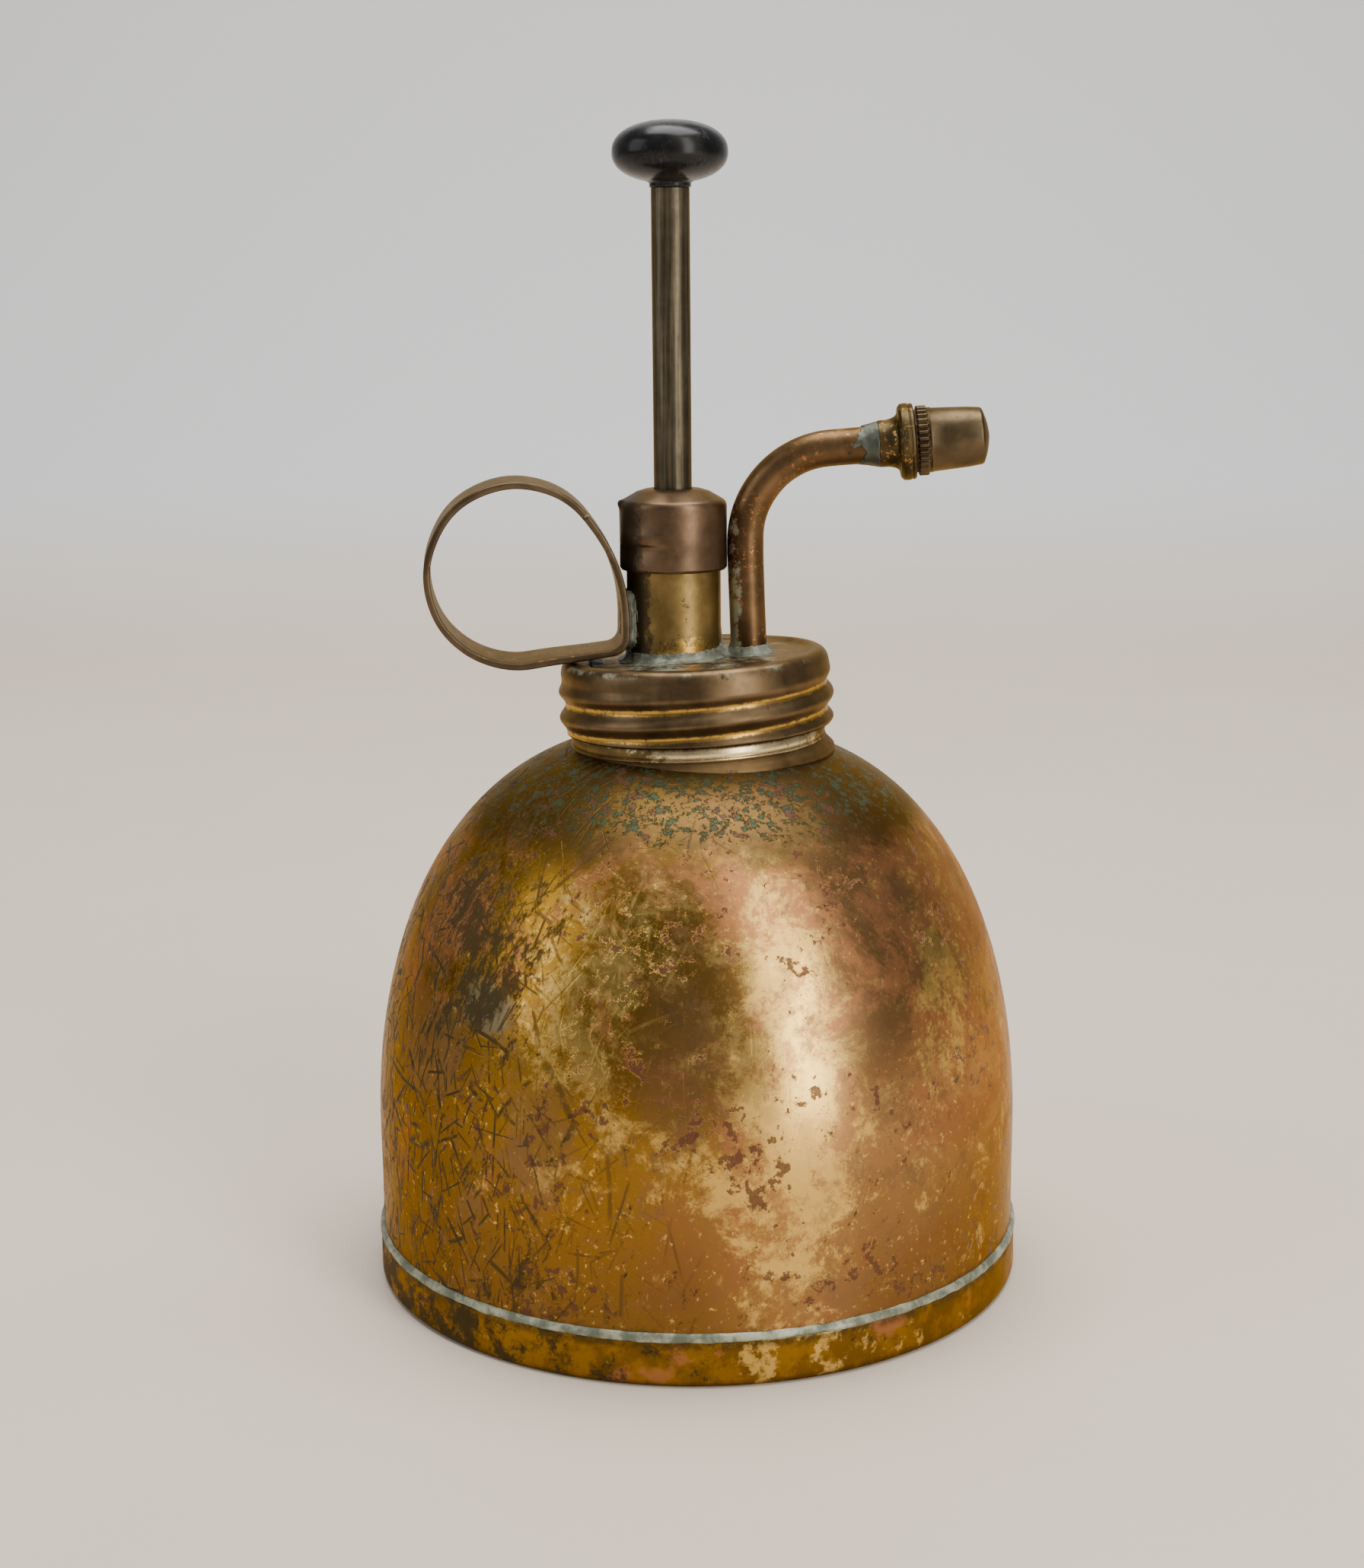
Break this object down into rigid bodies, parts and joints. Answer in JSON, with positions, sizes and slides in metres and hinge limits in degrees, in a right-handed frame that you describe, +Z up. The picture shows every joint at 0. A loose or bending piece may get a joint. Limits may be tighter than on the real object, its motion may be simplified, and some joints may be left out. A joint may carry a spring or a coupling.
{
  "type": "hand mister",
  "caption": "Brass hand mister: domed water tank with a screw cap that carries a thumb plunger pump, finger ring and swan-neck spray tube.",
  "frame": {"origin": "centre of the base pan's underside, on the tank's axis", "axes": "+Z up along the tank's axis, +X the way the nozzle sprays, +Y to the left of the spray"},
  "size_m": [0.088, 0.088, 0.1529],
  "materials": {
    "tank_brass": "mottled brown-gold patina, scratched",
    "pan_brass": "dull brown-green patina",
    "neck_brass": "bright worn",
    "solder": "dull grey-white with green tarnish",
    "leather": "greased",
    "cap_brass": "chocolate-brown satin patina with worn gold thread",
    "barrel_brass": "gold-brown, worn bright at the foot",
    "gland_brass": "brown satin patina",
    "packing": "greased yarn",
    "inner_brass": "dull",
    "ring_brass": "brown-grey patina, orange-brown inside",
    "tube_brass": "brown patina with copper specks and verdigris",
    "nozzle_brass": "brown patina with gold flecks",
    "fibre": "hard fibre",
    "spray_brass": "smooth brown patina",
    "ball_steel": "polished",
    "spring_bronze": "drawn wire",
    "rod_brass": "dull grey-brown, drawn streaks",
    "knob_black": "glossy, finely scratched"
  },
  "bodies": {
    "tank": {"tank_shell": "tank_brass", "base_pan": "pan_brass", "base_solder": "solder", "neck_ring": "neck_brass", "neck_solder": "solder"},
    "gasket": {"cap_gasket": "leather"},
    "head": {"screw_cap": "cap_brass", "pump_barrel": "barrel_brass", "barrel_solder": "solder", "gland_cap": "gland_brass", "gland_packing": "packing", "gland_washer": "inner_brass", "finger_ring": "ring_brass", "ring_solder": "solder", "spray_tube": "tube_brass", "tube_solder": "solder", "nozzle_body": "nozzle_brass", "nozzle_solder": "solder", "foot_valve_body": "inner_brass", "stop_pin": "inner_brass", "suction_strainer": "inner_brass", "return_spring": "spring_bronze"},
    "spring_seat": {"spring_washer": "inner_brass"},
    "plunger": {"plunger_rod": "rod_brass", "knob": "knob_black", "piston_plate": "inner_brass", "cup_leather": "leather", "piston_washer": "inner_brass", "piston_nut": "inner_brass"},
    "nozzle_packing": {"nozzle_washer": "fibre"},
    "spray_cap": {"nozzle_cap": "spray_brass", "swirl_core": "inner_brass"},
    "inlet_valve": {"inlet_ball": "ball_steel"},
    "outlet_valve": {"outlet_ball": "ball_steel"}
  },
  "joints": [
    {"name": "cap_rise", "type": "slide", "parent": "tank", "child": "gasket", "axis": [-0.0436, 0, 0.999], "range_m": [0, 0.0072]},
    {"name": "cap_turn", "type": "hinge", "parent": "gasket", "child": "head", "pos_m": [0.00065, 0, 0.072], "axis": [-0.0436, 0, 0.999], "range_deg": [0, 720.5]},
    {"name": "plunger_slide", "type": "slide", "parent": "head", "child": "spring_seat", "axis": [0, 0, -1], "range_m": [0, 0.0365], "stiffness_N_per_m": 150, "springref_m": -0.03, "deforming": ["return_spring"]},
    {"name": "plunger_turn", "type": "hinge", "parent": "spring_seat", "child": "plunger", "pos_m": [-0.0025, 0, 0.1], "axis": [0, 0, 1], "continuous": true},
    {"name": "nozzle_advance", "type": "slide", "parent": "head", "child": "nozzle_packing", "axis": [0.9972, 0, 0.075], "range_m": [0, 0.0016]},
    {"name": "nozzle_turn", "type": "hinge", "parent": "nozzle_packing", "child": "spray_cap", "pos_m": [0.0181, 0, 0.11122], "axis": [0.9972, 0, 0.075], "range_deg": [0, 720.5]},
    {"name": "inlet_ball_lift", "type": "slide", "parent": "head", "child": "inlet_valve", "axis": [0, 0, 1], "range_m": [0, 0.0013]},
    {"name": "outlet_ball_lift", "type": "slide", "parent": "head", "child": "outlet_valve", "axis": [0, 0, 1], "range_m": [0, 0.0012]}
  ],
  "couplings": [
    {"joint": "cap_turn", "follows": "cap_rise", "rad_per_m": 1745.3},
    {"joint": "nozzle_turn", "follows": "nozzle_advance", "rad_per_m": 7854}
  ]
}
